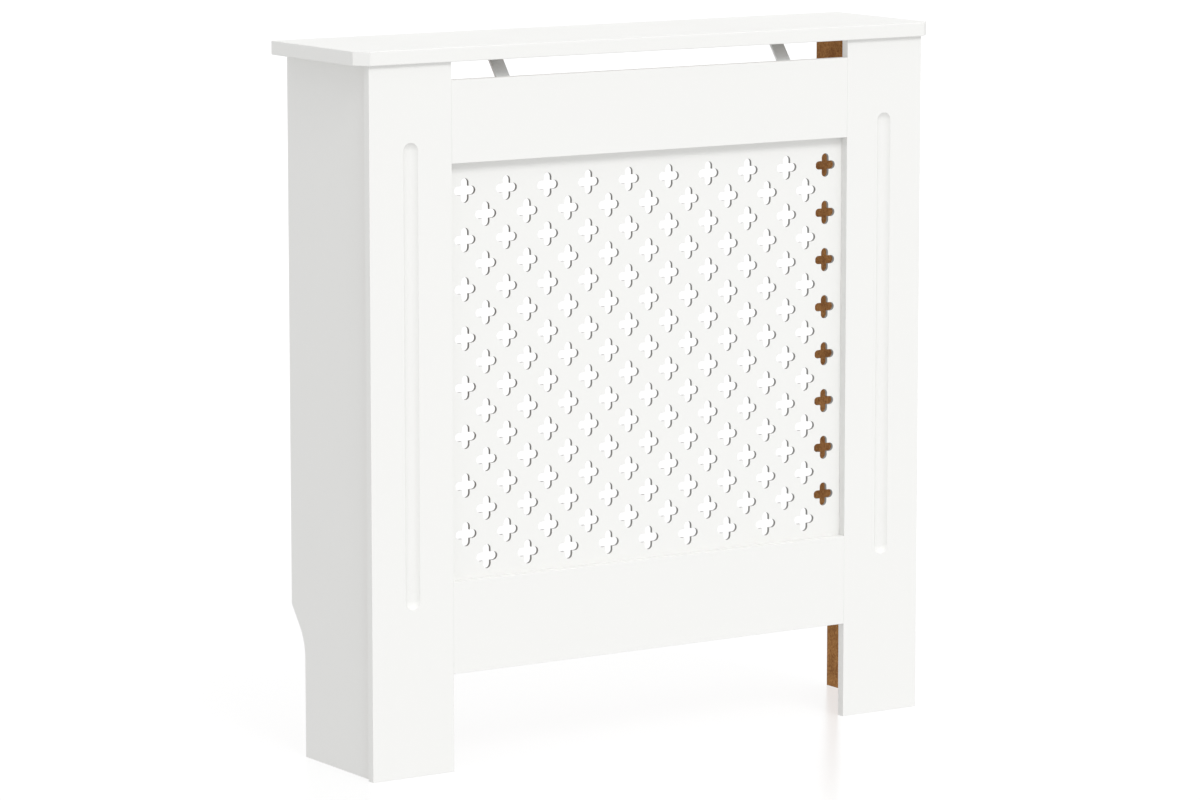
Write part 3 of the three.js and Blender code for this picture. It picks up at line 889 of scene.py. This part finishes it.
def ribbed_dowel():
    radius, length = DOWEL["radius"], DOWEL["length"]
    taper, taper_length = DOWEL["taper"], DOWEL["taper_length"]
    pin = [(0.0, 0.0), (radius - taper, 0.0), (radius, taper_length),
           (radius, length - taper_length), (radius - taper, length), (0.0, length)]
    return lathe("dowel", in_metres(pin), 4 * DOWEL_RIBS, beech,
                 lambda angle, height: -RIB_DEPTH * (1 - abs(math.cos(DOWEL_RIBS * angle / 2))))


TEMPLATES = {"screw": (pan_screw(), "plated", "zinc_plated_steel"),
             "bolt": (cam_bolt(), "plated", "zinc_plated_steel"),
             "nut": (cam_nut(), "cast", "zinc_alloy"),
             "dowel": (ribbed_dowel(), "turned", "beech")}
for template, _, _ in TEMPLATES.values():
    settle(smooth_shade(template, FITTING_BREAK))
print("templates:", {kind: len(made[0].data.polygons) for kind, made in TEMPLATES.items()}, "faces")

# %% [markdown]
# A fitting is placed by a matrix whose third column is its axis. For screws, bolts and dowels any
# turn about that axis will do. A nut has to show where its bolt comes in, so its first column, the
# way its pointer points, is the bolt's own direction.

# %% Placing
def place_fitting(node, axis):
    """A copy of the right template in a node's place."""
    kind = next(word for word in TEMPLATES if word in node)
    template, finish, slot = TEMPLATES[kind]
    piece = bpy.data.objects.new(f"{node}_{finish}", template.data)
    bpy.context.collection.objects.link(piece)
    piece.matrix_world = turned_to(seat(node), axis)
    if kind == "nut":
        bolt_way = FITTINGS[node.replace("_nut", "_bolt")]
        turned = Matrix((bolt_way, axis.cross(bolt_way), axis)).transposed().to_4x4()
        piece.matrix_world = Matrix.Translation(seat(node)) @ turned
    return keep(piece, node)


for node, axis in FITTINGS.items():
    place_fitting(node, axis)
for template, _, _ in TEMPLATES.values():
    bpy.data.objects.remove(template)
print("placed", len(FITTINGS), "fittings")

# %% [markdown]
# ## Floor and light
# A product picture of a white thing on white needs light from everywhere, and then just enough
# direction to tell the faces apart. The sky is a pale dome, brightest near the floor. A key light
# from the front casts the short shadows under the shelf and the rail, and a broad top light lifts
# the shelf. Suns are used for both, because they light a large floor evenly. The floor is a
# photographer's light table, opal acrylic lit from below. It takes hardly any shadow, and at this
# low angle its satin top also mirrors the dome, so it looks whiter than the light it gives.

# %% Floor
FLOOR_SIZE = 120.0
TABLE_GLOW = 0.69
TABLE_GREY = "#6a6a6a"                  # opal acrylic lets much of the light through from above
ACRYLIC_IOR = 1.49
TABLE_GRAIN_MM = 1.5
TABLE_GRAIN_DEPTH_MM = 0.03


def light_table():
    """Opal acrylic lit from below, with the fine matt texture of its upper side."""
    material, tree, shader, place = new_finish(
        "opal_acrylic_light_table", Base_Color=linear(TABLE_GREY), Roughness=0.25, IOR=ACRYLIC_IOR,
        Emission_Color=linear("#ffffff"), Emission_Strength=TABLE_GLOW)
    texture = add_node(
        tree, "ShaderNodeTexNoise",
        {"Scale": per_metre(TABLE_GRAIN_MM), "Detail": 2.0}, {"Vector": place})
    bump = add_node(
        tree, "ShaderNodeBump",
        {"Strength": 0.5, "Distance": TABLE_GRAIN_DEPTH_MM * MM},
        {"Height": texture.outputs["Fac"]})
    tree.links.new(bump.outputs["Normal"], shader.inputs["Normal"])
    return material


bpy.ops.mesh.primitive_plane_add(size=FLOOR_SIZE)
floor = bpy.context.object
floor.name = "floor"
floor.data.materials.append(light_table())
print("floor:", FLOOR_SIZE, "m wide")

# %% [markdown]
# A sun's strength is the light that falls on a face turned towards it, and its spread in degrees
# is how wide it looks in the sky, which softens its shadows. The dome is the scene's world, and
# its strength falls off evenly with the height of the direction it is seen in.

# %% Light
KEY_LIGHT = {"strength": 1.31, "spread": 24, "azimuth": -2, "elevation": 43}
TOP_LIGHT = {"strength": 0.8, "spread": 90, "azimuth": 0, "elevation": 90}
SKY_HORIZON = 0.84
SKY_ZENITH = 0.64
ZENITH_FROM = math.radians(50)


def sun(name, strength, spread, azimuth, elevation):
    """A sun that shines from a direction: azimuth 0 is from the front, 90 from the right."""
    light = bpy.data.lights.new(name, "SUN")
    light.energy = strength
    light.angle = math.radians(spread)
    lamp = bpy.data.objects.new(name, light)
    turn, rise = math.radians(azimuth), math.radians(elevation)
    source = Vector((math.sin(turn) * math.cos(rise), -math.cos(turn) * math.cos(rise),
                     math.sin(rise)))
    lamp.rotation_euler = source.to_track_quat("Z", "Y").to_euler()
    bpy.context.collection.objects.link(lamp)
    return lamp


def sky(horizon, zenith):
    """A white dome of light that is brightest just above the floor."""
    world = bpy.data.worlds.new("studio dome")
    world.use_nodes = True
    tree = world.node_tree
    way = add_node(tree, "ShaderNodeTexCoord").outputs["Generated"]
    height = add_node(tree, "ShaderNodeSeparateXYZ", links={"Vector": way}).outputs["Z"]
    strength = add_node(
        tree, "ShaderNodeMapRange",
        {"From Min": 0.0, "From Max": math.sin(ZENITH_FROM), "To Min": horizon, "To Max": zenith},
        {"Value": height})
    background = tree.nodes["Background"]
    background.inputs["Color"].default_value = linear("#ffffff")
    tree.links.new(strength.outputs["Result"], background.inputs["Strength"])
    bpy.context.scene.world = world
    return world


dome = sky(SKY_HORIZON, SKY_ZENITH)
key_light = sun("key light", **KEY_LIGHT)
top_light = sun("top light", **TOP_LIGHT)
bpy.context.scene.view_settings.view_transform = "Standard"
print("lights:", dome.name, "and", key_light.name, "and", top_light.name)
